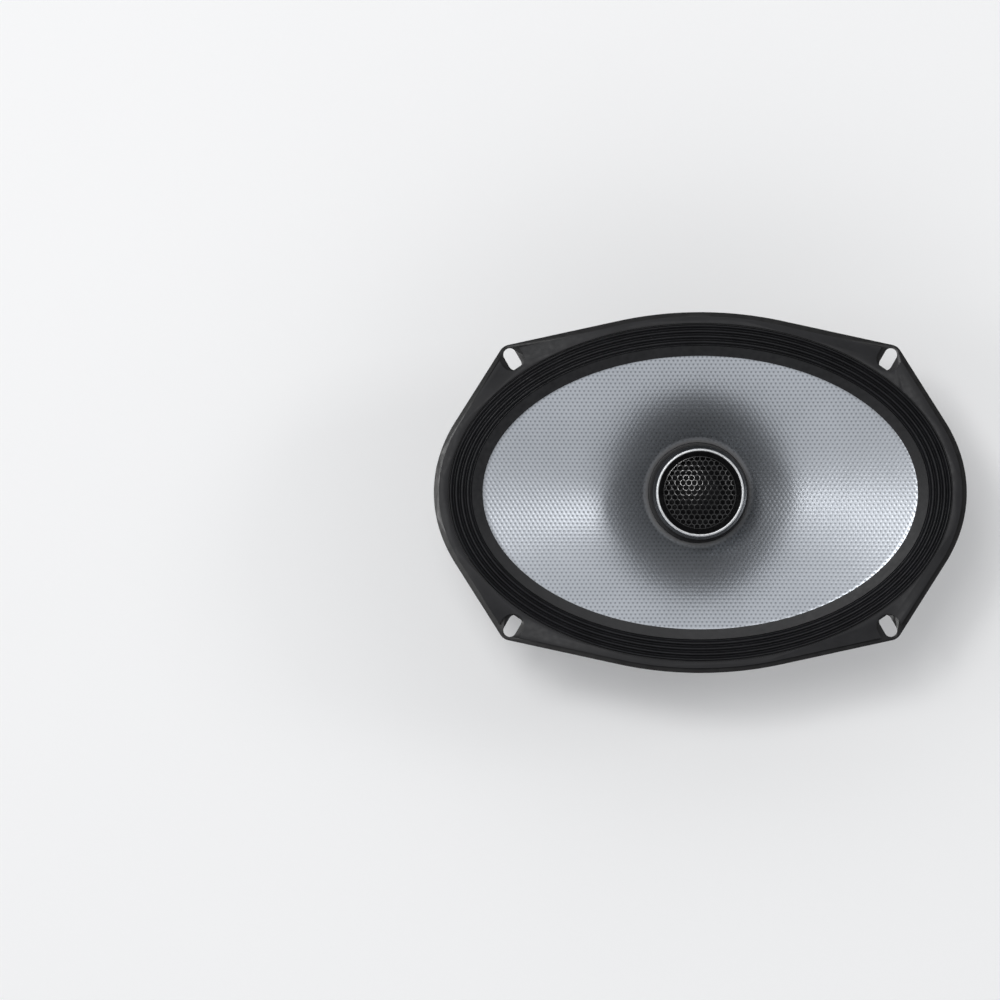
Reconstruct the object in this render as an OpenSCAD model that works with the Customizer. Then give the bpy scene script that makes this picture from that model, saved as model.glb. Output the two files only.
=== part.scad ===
// Two-way 6x9 coaxial car speaker, as an assembly of separate pieces.
// +Z points out of the cone, +X is the long axis of the oval.
// The origin is the centre of the back plate's rear face.

/* [Flange] */
// Overall length of the oval flange
flange_length = 236.3; // [232:0.1:240]
// Overall width of the oval flange
flange_width = 160; // [158:0.5:164]
// Height of the flange's front face above the rear of the magnet
face_z = 76; // [75:0.5:80]
// Thickness of the flange plate
flange_t = 2.4; // [1.8:0.1:3]
// Radius of the flange's four corners
corner_r = 5.5; // [5:0.1:6.5]
// Spacing of the mounting slots along the long axis
slot_spacing_x = 166.6; // [165:0.1:168]
// Spacing of the mounting slots along the short axis
slot_spacing_y = 118.2; // [117:0.1:119]
// Width of a mounting slot
slot_w = 5.7; // [5:0.1:6]
// Length of a mounting slot, end to end
slot_l = 10.4; // [9:0.1:11]
// Direction of a mounting slot, from the long axis
slot_angle = 60; // [50:1:70]

/* [Cone and surround] */
// Half length of the cone's visible oval
cone_a = 96.5; // [94:0.5:98]
// Half width of the cone's visible oval
cone_b = 60.6; // [58:0.2:62]
// Height of the cone's edge
cone_edge_z = 74.5; // [73:0.1:75]
// Height of the cone's neck
cone_neck_z = 40.4; // [40:0.1:41]
// Radius of the cone's neck
cone_neck_r = 20; // [19.8:0.1:21]
// Bend of the cone's profile, 1 is straight
cone_flare = 0.82; // [0.75:0.01:1]
// Thickness of the cone
cone_t = 0.8; // [0.6:0.1:1.2]
// Number of rolls in the surround
rolls = 4; // [3:1:5]
// Height of each roll above and below its middle
roll_h = 0.8; // [0.4:0.1:1]

/* [Motor] */
// Radius of the ferrite ring
magnet_r = 48; // [46:0.5:50]
// Thickness of the ferrite ring
magnet_h = 15; // [14:0.5:15]
// Radius of the top plate
top_plate_r = 47.5; // [46:0.5:48]
// Radius of the back plate
back_plate_r = 44.5; // [43:0.5:47]
// Thickness of the top plate and of the back plate
plate_h = 5; // [4.5:0.1:5]
// Inner radius of the voice coil former
coil_r = 18.4; // [18.2:0.1:18.6]
// Length of the voice coil winding
winding_h = 14; // [12:0.5:15]

/* [Tweeter] */
// Radius of the tweeter at its widest
tweeter_r = 20.9; // [20.5:0.1:22]
// Height of the tweeter's front ring
tweeter_top_z = 73.8; // [73:0.1:74.5]
// Radius of the tweeter's dome
dome_r = 12.5; // [12.3:0.1:12.6]
// Distance between holes in the grille
grille_pitch = 2.5; // [2.4:0.1:3.4]

/* [Crossover and terminals] */
// Radius of the capacitor in its sleeve
capacitor_r = 9.25; // [8:0.25:9.5]
// Length of the capacitor
capacitor_l = 24; // [20:0.5:26]
// Direction of the capacitor from the speaker's axis
capacitor_angle = 216.9; // [214:0.1:220]
// Height of the capacitor's axis
capacitor_z = 20.5; // [19:0.5:22]

/* [Hidden] */

$fn = 96;
cut = 1;          // how far a cutter runs past the face that it cuts
fit = 0.05;       // gap between pieces of one body
glue = 0.15;      // gap between a fixed piece and a moving one that it is glued to
oval_n = 60;      // points round each lofted oval

magnet_z = plate_h;
top_plate_z = magnet_z + magnet_h;
seat_z = top_plate_z + plate_h;     // where the basket stands on the top plate

skin_t = 1.8;                       // thickness of the basket's walls
gasket_a = 111.9;                   // inner half length of the gasket ring
gasket_b = 75.1;                    // inner half width of the gasket ring
gasket_edge = 2.2;                  // how far the gasket stays inside the flange's edge
gasket_h = 1.5;                     // height of the gasket above the surround's rubber
pocket_r = 5.3;                     // radius of the gasket's pocket round each slot
land_w = 3;                         // width of the surround's rim on the flange
land_t = 0.8;                       // thickness of the surround's rubber
low_z = cone_edge_z + glue;         // underside of the surround where it meets the cone
land_z = face_z + 0.02;             // underside of the surround on the flange

cup_top_z = 56.2;                   // top of the round cup that holds the spider
cup_shelf_z = cup_top_z - 1.6;      // where the shelf joins the cup
cup_top_r = 58.4;                   // outer radius of the cup at its top
cup_cut_y = 30;                     // half width of the low stretch of the cup at each end
low_x = 46;                         // where that low stretch begins
shelf_a = 99;                       // half length, half width and thickness of the shelf
shelf_b = 59;
shelf_t = 1.4;
ledge_z = 38.2;                     // where the spider is glued to the basket
ledge_r = 45;
foot_r = 48.7;                      // outer radius of the spider
end_x = 62;                         // where the open middle of the bowl ends
leg_half_w = 5;
leg_foot_x = 39;
window_w = 11.3;
window_z = [39.3, 54];              // lower and upper edge of the windows
window_r = 47.5;                    // where a window's cutter begins

former_t = 0.4;
winding_t = 1;
winding_z = top_plate_z + plate_h / 2 - winding_h / 2;
pole_r = coil_r - 0.8;
gap_r = coil_r + former_t + winding_t + 0.8;
pole_top_z = seat_z + 1;
former_top_z = cone_neck_z + 4.4;

post_bore_r = 1.9;
post_thread_r = 4;
post_r = 7;
post_low_z = 2.3;                   // rear end of the post's thread
nut_z = 2.4;
nut_r = 7.4;
nut_recess_r = 8.4;
nut_recess_z = 5.5;
groove_w = 4.4;                     // groove for the tweeter's leads in the back plate
groove_z = 2.2;

seam_z = tweeter_top_z - 8.5;       // where the bezel meets the housing
housing_z = 50.4;
housing_floor = 2;
cavity_r = 17.4;
motor_z = housing_z + housing_floor + 1.2;
yoke_t = 2.4;                       // thickness of the tweeter yoke's floor
pole_plate_t = 2.8;
tweeter_gap_z = motor_z + 9.8;      // front of the tweeter's magnetic gap
dome_z = tweeter_gap_z + 1.6;
dome_h = 4.6;
dome_t = 0.3;
grille_r = 16.3;
grille_z = tweeter_top_z - 3.8;
grille_rise = 3.3;
grille_t = 0.5;
grille_wire = 0.5;                  // metal left between two holes

board = [[-68, -10], [-56.5, 10]];    // the terminal board's corners, seen from above
board_z = 30.4;
pad_z = 33;                         // underside of the basket's terminal pad
pad_t = 1.6;
pad_w = 19;
blade_z = 23.5;
blade_x = [-66, -60];
blade_y = [6.6, -6.6];
blade_w = [6.3, 2.8];
blade_t = 0.8;
rivet_r = 1;

capacitor_reach = magnet_r + capacitor_r + 1.35;
sleeve_t = 1.1;                     // thickness of the capacitor's sleeve
tie_t = 0.9;
tie_w = 3.4;
tie_at = 6;                         // distance of the tie from the capacitor's middle
winding_in = 2;                     // how far the winding sits inside the sleeve's ends

wire_r = 0.65;
tinsel_r = 0.6;
groove_angle = 201.8;

capacitor_route = [
    [-60, -8.9, 27.5], [-60.2, -11, 28.8], [-60.6, -14, 28.6], [-60.5, -17.5, 25.8],
    [-59.2, -20.4, 22.4], [-57.2, -22.8, 20.7], [-55.8, -24.6, 20.5]
];
tweeter_route_positive = [
    [-57.2, -22.4, 16.5], [-58.5, -20.5, 15.5], [-57.5, -19.8, 10], [-55, -20, 5],
    [-51.8, -21, 1.8], [-47.5, -19.9, 1.1], [-34, -14.5, 1.1], [-20, -8.9, 1.1],
    [-8, -4.1, 1.1], [-3.6, -1.8, 1.1], [-1.3, -0.7, 1.6], [-0.9, -0.2, 3.4], [-0.8, 0, 9],
    [-0.8, 0, 36], [-0.8, 0, 53.5]
];
tweeter_route_negative = [
    [-64.8, 6.6, 27], [-63.4, 5.4, 24.5], [-60, -1, 17], [-56.5, -9, 9],
    [-53.5, -16.2, 3.6], [-49.5, -18.2, 1.3], [-46, -17.5, 1.1], [-34, -12.7, 1.1],
    [-20, -7.1, 1.1], [-8, -2.3, 1.1], [-3.4, 0.1, 1.1], [-0.6, 1.2, 1.3], [0.7, 0.8, 2.5],
    [0.9, 0.2, 4.5], [0.8, 0, 9], [0.8, 0, 36], [0.8, 0, 53.5]
];
tinsel_route = [
    [-60, 8.2, 35.8], [-59, 8, 39], [-56, 7.8, 43.5], [-50, 7.4, 46.4],
    [-42, 7, 45.4], [-36, 6.6, 44], [-33, 6.4, 44.3], [-31.4, 6.3, 45.2]
];
eyelet_at = [-29.6, 6.3, 45.9];

// ---- Helpers ----

function between(a, b, t) = a + (b - a) * t;
function unit(v) = v / norm(v);

// One oval ring of points
function oval(a, b, z) = [
    for (i = [0 : oval_n - 1]) [a * cos(360 * i / oval_n), b * sin(360 * i / oval_n), z]
];

function flat_oval(a, b) = [for (p = oval(a, b, 0)) [p[0], p[1]]];

function spline(p, q, r, s, t) = 0.5 * (2 * q + (r - p) * t
    + (2 * p - 5 * q + 4 * r - s) * t * t + (3 * q - p - 3 * r + s) * t * t * t);

// A route through the given points, with steps points for each stretch
function smooth(p, steps) = concat(
    [for (i = [0 : len(p) - 2], k = [0 : steps - 1])
        spline(p[max(i - 1, 0)], p[i], p[i + 1], p[min(i + 2, len(p) - 1)], k / steps)],
    [p[len(p) - 1]]);

function tangents(p) = [
    for (i = [0 : len(p) - 1]) unit(p[min(i + 1, len(p) - 1)] - p[max(i - 1, 0)])
];

// Side directions carried along a route without twist
function sides(t, i, n) = i >= len(t) ? []
    : let (m = unit(n - t[i] * (n * t[i]))) concat([m], sides(t, i + 1, m));

// Skin through rings of equal size; a loop also joins the last ring to the first
module skin(rings, loop = false) {
    n = len(rings[0]);
    m = len(rings);
    walls = [
        for (k = [0 : (loop ? m : m - 1) - 1], i = [0 : n - 1])
            let (a = k * n + i, b = k * n + (i + 1) % n, up = ((k + 1) % m) * n)
            let (c = up + (i + 1) % n, d = up + i)
            each [[a, d, c], [a, c, b]]
    ];
    caps = loop ? [] : [[for (i = [0 : n - 1]) i], [for (i = [0 : n - 1]) m * n - 1 - i]];
    polyhedron([for (r = rings) each r], concat(walls, caps), convexity = 8);
}

// Round wire along a route
module wire(points, r, steps = 3, n = 8) {
    p = smooth(points, steps);
    t = tangents(p);
    s = sides(t, 0, [0.37, 0.82, 0.44]);
    skin([for (k = [0 : len(p) - 1])
        [for (i = [0 : n - 1])
            p[k] + r * (s[k] * cos(360 * i / n) + cross(t[k], s[k]) * sin(360 * i / n))]]);
}

module ring(r_out, r_in, z, h) {
    translate([0, 0, z])
        difference() {
            cylinder(r = r_out, h = h);
            translate([0, 0, -cut]) cylinder(r = r_in, h = h + 2 * cut);
        }
}

module oval_plate(a, b, z, h) {
    translate([0, 0, z])
        linear_extrude(h) polygon(flat_oval(a, b));
}

// A box at each end of the oval, from x_in to x_out
module end_boxes(x_in, x_out, half_w, z, h) {
    for (s = [0, 1])
        mirror([s, 0, 0]) translate([x_in, -half_w, z]) cube([x_out - x_in, 2 * half_w, h]);
}

// Places its children on the capacitor's axis: X outwards, Y along the capacitor
module at_capacitor(along = 0) {
    rotate([0, 0, capacitor_angle])
        translate([capacitor_reach, along, capacitor_z]) children();
}

// ---- Basket ----

// The bowl's outside, as [half length, half width, height] from the back to the flange
bowl = [
    [69, 47, 39.4], [75, 50, 42.3], [90.5, 55, 47.2], [100, 60, 55], [107, 67.5, 62],
    [110.8, 72.6, 68], [112.9, 75.9, face_z - flange_t + 0.8]
];

module slot() {
    reach = (slot_l - slot_w) / 2;
    hull()
        for (s = [-1, 1])
            rotate([0, 0, slot_angle]) translate([s * reach, 0, face_z - flange_t - cut])
                cylinder(d = slot_w, h = flange_t + 2 * cut, $fn = 24);
}

// Outline of the flange, or of a plate that stays inset from it
module flange_outline(inset = 0) {
    hull() {
        polygon(flat_oval(flange_length / 2 - inset, flange_width / 2 - inset));
        for (x = [-1, 1], y = [-1, 1])
            translate([x * (slot_spacing_x / 2 + 0.7), y * (slot_spacing_y / 2 + 1)])
                circle(r = corner_r - inset, $fn = 32);
    }
}

module window(angle) {
    corner = 2.2;
    reach = 14;
    rotate([0, 0, angle])
        hull() {
            for (y = [-1, 1])
                translate([window_r, y * (window_w / 2 - corner), window_z[0] + corner])
                    rotate([0, 90, 0]) cylinder(r = corner, h = reach, $fn = 16);
            translate([window_r, -window_w / 2, window_z[1] - 1]) cube([reach, window_w, 1]);
        }
}

// Round cup that stands on the top plate; it is low behind each leg
module cup() {
    low = ledge_z + 3.2;
    difference() {
        rotate_extrude($fn = 60)
            polygon([
                [30, seat_z], [41, seat_z], [41.6, seat_z + 2], [50.8, ledge_z - 0.2],
                [cup_top_r, cup_shelf_z - 0.25], [cup_top_r, cup_top_z], [56.5, cup_top_z],
                [56.5, cup_shelf_z], [foot_r + 0.3, ledge_z + 2], [foot_r + 0.3, ledge_z],
                [ledge_r, ledge_z], [ledge_r, ledge_z - 1.6], [47, ledge_z - 1.6],
                [39.6, seat_z + 1.6], [30, seat_z + 1.6]
            ]);
        end_boxes(low_x, low_x + 20, cup_cut_y, low, 20);
    }
}

module basket_bowl() {
    difference() {
        skin([for (s = bowl) oval(s[0], s[1], s[2])]);
        skin([for (k = [0 : len(bowl) - 1])
            oval(bowl[k][0] - skin_t, bowl[k][1] - skin_t,
                bowl[k][2] + (k < len(bowl) - 1 ? skin_t : flange_t + cut))]);
        // open middle, with slanted ends
        rotate([90, 0, 0])
            linear_extrude(2 * flange_width, center = true)
                polygon([[-end_x + 8, 30], [end_x - 8, 30], [end_x, 44],
                    [end_x, cup_shelf_z + 0.5], [-end_x, cup_shelf_z + 0.5], [-end_x, 44]]);
    }
}

module leg() {
    rotate([90, 0, 0])
        linear_extrude(2 * leg_half_w, center = true)
            polygon([[leg_foot_x, seat_z], [41.5, seat_z], [70.5, 40.6], [69.5, 42.6],
                [52, 35.8], [leg_foot_x + 3, seat_z + 2.5]]);
}

module basket() {
    color("#2b2c2f")
        difference() {
            union() {
                translate([0, 0, face_z - flange_t])
                    linear_extrude(flange_t)
                        difference() {
                            flange_outline();
                            polygon(flat_oval(gasket_a - 0.2, gasket_b - 0.2));
                        }
                basket_bowl();
                // shelf from the bowl to the round cup
                difference() {
                    oval_plate(shelf_a, shelf_b, cup_shelf_z, shelf_t);
                    translate([0, 0, cup_shelf_z - cut])
                        cylinder(r = cup_top_r - 0.9, h = shelf_t + 2 * cut);
                    end_boxes(low_x + 1, shelf_a + cut, cup_cut_y + 0.5, cup_shelf_z - cut,
                        shelf_t + 2 * cut);
                    end_boxes(end_x, shelf_a + cut, shelf_b + cut, cup_shelf_z - cut,
                        shelf_t + 2 * cut);
                }
                cup();
                leg();
                mirror([1, 0, 0]) leg();
                // pad that carries the terminal board
                translate([-70, -pad_w / 2, pad_z]) cube([20, pad_w, pad_t]);
            }
            for (x = [-1, 1], y = [-1, 1])
                mirror([x < 0 ? 1 : 0, 0, 0]) mirror([0, y < 0 ? 1 : 0, 0])
                    translate([slot_spacing_x / 2, slot_spacing_y / 2, 0]) slot();
            for (k = [-2 : 2], s = [0, 180]) window(90 + 30 * k + s);
            // room for the terminal board
            translate([board[0][0] - fit, board[0][1] - cut, 0])
                cube([board[1][0] - board[0][0] + 2 * fit, board[1][1] - board[0][1] + 2 * cut,
                    pad_z]);
            for (k = [0, 1])
                translate([blade_x[k], blade_y[k], pad_z - cut])
                    cylinder(r = rivet_r + 0.3, h = pad_t + 2 * cut, $fn = 24);
        }
}

module gasket_layer(a, b, z, h) {
    translate([0, 0, z])
        linear_extrude(h)
            difference() {
                flange_outline(gasket_edge);
                polygon(flat_oval(a, b));
                for (x = [0, 1], y = [0, 1])
                    mirror([x, 0]) mirror([0, y])
                        translate([slot_spacing_x / 2, slot_spacing_y / 2]) rotate(slot_angle) {
                            circle(r = pocket_r, $fn = 32);
                            translate([0, -pocket_r]) square([20, 2 * pocket_r]);
                        }
            }
}

// Raised gasket that covers the flange and holds down the surround's rim
module gasket_ring() {
    rim = land_w + 0.2;
    color("#222326") {
        gasket_layer(gasket_a + rim, gasket_b + rim, face_z + fit, land_t + fit);
        gasket_layer(gasket_a, gasket_b, face_z + land_t + 2 * fit, gasket_h);
    }
}

// ---- Cone, surround and suspension ----

function cone_ring(t, drop) = oval(
    between(cone_neck_r, cone_a, t), between(cone_neck_r, cone_b, t),
    between(cone_neck_z, cone_edge_z, pow(t, cone_flare)) - drop);

module cone() {
    steps = [0, 0.04, 0.1, 0.2, 0.35, 0.5, 0.65, 0.8, 0.92, 1];
    lip = 3.5;
    last = len(steps) - 1;
    color("#b4bac4")
        skin(concat(
            [for (t = steps) cone_ring(t, cone_t)],
            [for (d = [cone_t, 0]) oval(cone_a + lip, cone_b + lip, cone_edge_z - d)],
            [for (k = [0 : last]) cone_ring(steps[last - k], 0)]), loop = true);
}

// Height of the surround's rubber: flat band, rolls, then the land on the flange
function roll_z(u) = (land_z - low_z) * u
    - (u < 0.32 ? 0 : roll_h * sin(360 * rolls * (u - 0.32) / 0.68));

function surround_ring(u, z) = oval(between(cone_a, gasket_a - 0.5, u),
    between(cone_b, gasket_b - 0.5, u), z);

module surround() {
    edge = 3 * rolls;
    steps = concat([0, 0.16, 0.32], [for (k = [1 : edge]) 0.32 + 0.68 * k / edge]);
    last = len(steps) - 1;
    color("#1b1c1f")
        skin(concat(
            [for (u = steps) surround_ring(u, low_z + roll_z(u))],
            [for (d = [0, land_t]) oval(gasket_a + land_w, gasket_b + land_w, land_z + d)],
            [for (k = [0 : last])
                surround_ring(steps[last - k], low_z + land_t + roll_z(steps[last - k]))]),
            loop = true);
}

module cone_neck_ring() {
    inner = coil_r + former_t + fit;
    color("#5a5c60")
        rotate_extrude()
            polygon([[inner, cone_neck_z + 1], [cone_neck_r + 0.1, cone_neck_z + 1.2],
                [22.6, cone_neck_z + 4.1], [22.6, cone_neck_z + 4.6], [inner, cone_neck_z + 4.4]]);
}

module voice_coil_former() {
    color("#c8b070") ring(coil_r + former_t, coil_r, winding_z, former_top_z - winding_z);
}

module voice_coil_winding() {
    color("#b06a3a")
        ring(coil_r + former_t + winding_t, coil_r + former_t + 0.01, winding_z, winding_h);
}

module spider() {
    inner = coil_r + former_t + 0.3;
    start = inner + 2.5;
    waves = 6;
    points = 6 * waves;
    wave = [for (k = [0 : points])
        [between(start, ledge_r - 0.5, k / points),
            ledge_z + 0.6 + 0.9 * sin(360 * waves * k / points)]];
    color("#a8602c")
        rotate_extrude()
            polygon(concat(
                [[inner, ledge_z + 0.6]], wave, [[ledge_r + 0.5, ledge_z + fit],
                [foot_r, ledge_z + fit], [foot_r, ledge_z + 0.65], [ledge_r, ledge_z + 0.65]],
                [for (k = [0 : points]) wave[points - k] + [0, 0.6]],
                [[inner, ledge_z + 1.2]]));
}

// ---- Motor ----

module basket_glue_bead() {
    color("#d8d8d2")
        difference() {
            rotate_extrude()
                polygon([[41.3, seat_z + fit], [42.5, seat_z + fit], [41.9, seat_z + 0.7],
                    [41.6, seat_z + 0.7]]);
            translate([-50, -leg_half_w - 0.2, seat_z - cut])
                cube([100, 2 * leg_half_w + 0.4, 4]);
        }
}

module top_plate() {
    color("#b9bfc4") ring(top_plate_r, gap_r, top_plate_z, plate_h);
}

module ferrite_magnet() {
    color("#4b4b4e") ring(magnet_r, gap_r + 4.5, magnet_z, magnet_h);
}

module yoke_and_pole() {
    color("#b9bfc4")
        difference() {
            union() {
                cylinder(r = back_plate_r, h = plate_h);
                cylinder(r = pole_r, h = pole_top_z);
            }
            translate([0, 0, -cut]) cylinder(r = nut_recess_r, h = nut_recess_z + cut);
            translate([0, 0, -cut]) cylinder(r = post_thread_r + fit, h = pole_top_z + 2 * cut);
            rotate([0, 0, groove_angle])
                translate([0, -groove_w / 2, -cut]) cube([60, groove_w, groove_z + cut]);
        }
}

// ---- Tweeter ----

module tweeter_post() {
    color("#2a2b2e")
        difference() {
            union() {
                translate([0, 0, post_low_z])
                    cylinder(r = post_thread_r, h = motor_z + 0.9 - post_low_z);
                translate([0, 0, pole_top_z]) cylinder(r = post_r, h = housing_z - pole_top_z);
            }
            cylinder(r = post_bore_r, h = tweeter_top_z);
        }
}

module post_nut() {
    color("#c9c9c4")
        difference() {
            translate([0, 0, nut_z]) cylinder(r = nut_r, h = nut_recess_z - nut_z, $fn = 6);
            cylinder(r = post_thread_r + fit, h = nut_recess_z + cut);
        }
}

module tweeter_housing() {
    color("#141416")
        rotate_extrude()
            polygon([[post_thread_r + fit, housing_z], [17, housing_z], [18.2, housing_z + 0.9],
                [19.4, tweeter_top_z - 17], [tweeter_r - 0.4, seam_z], [cavity_r, seam_z],
                [cavity_r, housing_z + housing_floor],
                [post_thread_r + fit, housing_z + housing_floor]]);
}

module tweeter_bezel() {
    low = seam_z + fit;
    color("#101012")
        rotate_extrude()
            polygon([[cavity_r, low], [tweeter_r - 0.4, low], [tweeter_r, low + 1],
                [tweeter_r - 0.2, low + 3.4], [19.6, tweeter_top_z - 0.9],
                [18.5, tweeter_top_z - 0.5], [16.7, grille_z + 1.2], [16.4, grille_z + 0.7],
                [16.4, grille_z - 0.1], [15.6, grille_z - 0.1], [15.6, grille_z - 0.9],
                [cavity_r, grille_z - 2.2]]);
}

module tweeter_trim_ring() {
    color("#dcdfe2")
        rotate_extrude()
            polygon([[18.6, tweeter_top_z - 0.4], [19.35, tweeter_top_z - 0.72],
                [19.2, tweeter_top_z - 0.2], [18.95, tweeter_top_z], [18.7, tweeter_top_z]]);
}

module tweeter_grille() {
    sphere_r = (pow(grille_r, 2) + pow(grille_rise, 2)) / (2 * grille_rise);
    reach = floor(grille_r / grille_pitch) + 1;
    height = grille_rise + grille_t + 2 * cut;
    color("#0d0d0e")
        difference() {
            intersection() {
                translate([0, 0, grille_z]) cylinder(r = grille_r, h = height);
                translate([0, 0, grille_z + grille_t + grille_rise - sphere_r]) sphere(r = sphere_r);
            }
            translate([0, 0, grille_z + grille_rise - sphere_r - 0.01]) sphere(r = sphere_r);
            for (i = [-reach : reach], j = [-reach : reach])
                let (x = grille_pitch * (i + j / 2), y = grille_pitch * j * sqrt(3) / 2)
                    if (norm([x, y]) < grille_r - 1.6)
                        translate([x, y, grille_z - cut])
                            cylinder(d = grille_pitch - grille_wire, h = height, $fn = 6);
        }
}

module tweeter_face_ring() {
    color("#1a1a1c") ring(cavity_r - fit, 14.7, tweeter_gap_z + fit, 1.4);
}

module tweeter_surround() {
    inner = dome_r + 0.3;
    z = dome_z + fit;
    color("#3a3a3e")
        rotate_extrude()
            polygon([[inner, z], [inner + 0.8, z + 0.6], [inner + 1.6, z],
                [15.6, z], [15.6, z + 0.3], [inner + 1.7, z + 0.3], [inner + 0.8, z + 0.95],
                [inner, z + 0.35]]);
}

module tweeter_dome() {
    sphere_r = (pow(dome_r, 2) + pow(dome_h, 2)) / (2 * dome_h);
    color("#2e2e33")
        difference() {
            intersection() {
                translate([0, 0, dome_z + dome_h - sphere_r]) sphere(r = sphere_r);
                translate([0, 0, dome_z]) cylinder(r = dome_r + 1, h = dome_h + 1);
            }
            translate([0, 0, dome_z + dome_h - sphere_r]) sphere(r = sphere_r - dome_t);
        }
}

module tweeter_coil_former() {
    color("#c8b070") ring(dome_r, dome_r - 0.25, tweeter_gap_z - 3.8, dome_z - tweeter_gap_z + 3.75);
}

module tweeter_coil_winding() {
    color("#b06a3a") ring(dome_r + 0.45, dome_r + 0.01, tweeter_gap_z - 3.6, 3.4);
}

module tweeter_pole_plate() {
    color("#b9bfc4")
        translate([0, 0, tweeter_gap_z - pole_plate_t])
            cylinder(r = dome_r - 0.6, h = pole_plate_t);
}

module tweeter_magnet() {
    color("#8d9094")
        translate([0, 0, motor_z + yoke_t])
            cylinder(r = dome_r - 1, h = tweeter_gap_z - pole_plate_t - motor_z - yoke_t);
}

module tweeter_yoke() {
    color("#a9afb4")
        difference() {
            translate([0, 0, motor_z]) cylinder(r = 16, h = tweeter_gap_z - motor_z);
            translate([0, 0, motor_z + yoke_t])
                cylinder(r = dome_r + 1, h = tweeter_gap_z - motor_z);
            translate([0, 0, motor_z - cut]) cylinder(r = post_thread_r + fit, h = 1.9 + cut);
        }
}

// ---- Terminals ----

module terminal_board() {
    color("#17181a")
        difference() {
            translate([board[0][0], board[0][1], board_z])
                cube([board[1][0] - board[0][0], board[1][1] - board[0][1], pad_z - board_z - fit]);
            for (k = [0, 1])
                translate([blade_x[k], blade_y[k], 0])
                    cylinder(r = rivet_r + fit, h = pad_z, $fn = 24);
        }
}

module blade(k) {
    top = board_z - fit;
    translate([blade_x[k], blade_y[k], 0])
        difference() {
            union() {
                translate([-blade_t / 2, -blade_w[k] / 2, blade_z])
                    cube([blade_t, blade_w[k], top - blade_z]);
                translate([-2.4, -2.4, top - blade_t]) cube([4.8, 4.8, blade_t]);
            }
            translate([-cut, 0, blade_z + 2.4]) rotate([0, 90, 0]) cylinder(r = 0.8, h = 2 * cut);
        }
}

module positive_blade() {
    color("#d9d4c6") blade(0);
}

module negative_blade() {
    color("#d9d4c6") blade(1);
}

module terminal_rivets() {
    color("#c9c9c4")
        for (k = [0, 1])
            translate([blade_x[k], blade_y[k], 0]) {
                translate([0, 0, board_z]) cylinder(r = rivet_r, h = pad_z + pad_t - board_z);
                translate([0, 0, pad_z + pad_t]) cylinder(r = 1.5, h = 0.7);
            }
}

// ---- Crossover ----

module capacitor_sleeve() {
    color("#1c1a1d")
        at_capacitor()
            rotate([90, 0, 0])
                difference() {
                    cylinder(r = capacitor_r, h = capacitor_l, center = true);
                    cylinder(r = capacitor_r - sleeve_t, h = capacitor_l + 2 * cut, center = true);
                }
}

module capacitor_winding() {
    color("#c06a45")
        at_capacitor()
            rotate([90, 0, 0])
                difference() {
                    cylinder(r = capacitor_r - sleeve_t - fit, h = capacitor_l - 2 * winding_in,
                        center = true);
                    translate([0, 0, -capacitor_l / 2 - 4]) cylinder(r = 1.6, h = 8);
                }
}

module cable_tie() {
    color("#101012")
        at_capacitor(tie_at) {
            rotate([90, 0, 0])
                difference() {
                    cylinder(r = capacitor_r + fit + tie_t, h = tie_w, center = true);
                    cylinder(r = capacitor_r + fit, h = tie_w + 2 * cut, center = true);
                }
            // head of the tie, over the clip
            rotate([0, -135, 0])
                translate([capacitor_r + tie_t - 0.1, -2.4, -2]) cube([3.4, 4.8, 4]);
        }
}

module capacitor_clip() {
    color("#101012")
        rotate([0, 0, capacitor_angle])
            difference() {
                translate([43.3, 2, seat_z + fit]) cube([6, 8, 1.4]);
                translate([capacitor_reach, tie_at, capacitor_z])
                    rotate([90, 0, 0])
                        cylinder(r = capacitor_r + tie_t + 2 * fit, h = capacitor_l, center = true);
            }
}

module capacitor_lead() {
    color("#151517") wire(capacitor_route, wire_r);
}

module tweeter_lead_positive() {
    color("#151517") wire(tweeter_route_positive, wire_r);
}

module tweeter_lead_negative() {
    color("#151517") wire(tweeter_route_negative, wire_r);
}

module tinsel_lead_positive() {
    color("#b9b6ac") wire(tinsel_route, tinsel_r);
}

module tinsel_lead_negative() {
    color("#b9b6ac") mirror([0, 1, 0]) wire(tinsel_route, tinsel_r);
}

module lead_eyelets() {
    color("#c9c9c4")
        for (s = [-1, 1])
            translate([eyelet_at[0], s * eyelet_at[1], eyelet_at[2]])
                rotate([0, 30, 0]) translate([0, 0, -1]) cylinder(r = 1.3, h = 1, $fn = 24);
}

basket();
gasket_ring();
surround();
cone();
cone_neck_ring();
voice_coil_former();
voice_coil_winding();
spider();
basket_glue_bead();
top_plate();
ferrite_magnet();
yoke_and_pole();
tweeter_post();
post_nut();
tweeter_housing();
tweeter_bezel();
tweeter_trim_ring();
tweeter_grille();
tweeter_face_ring();
tweeter_surround();
tweeter_dome();
tweeter_coil_former();
tweeter_coil_winding();
tweeter_pole_plate();
tweeter_magnet();
tweeter_yoke();
terminal_board();
terminal_rivets();
positive_blade();
negative_blade();
capacitor_sleeve();
capacitor_winding();
cable_tie();
capacitor_clip();
capacitor_lead();
tweeter_lead_positive();
tweeter_lead_negative();
tinsel_lead_positive();
tinsel_lead_negative();
lead_eyelets();
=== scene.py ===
from math import cos, pi, radians, sin, sqrt, tau

import bpy
import bmesh
import numpy as np
from mathutils import Matrix, Vector
from mathutils.geometry import convex_hull_2d


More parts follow.
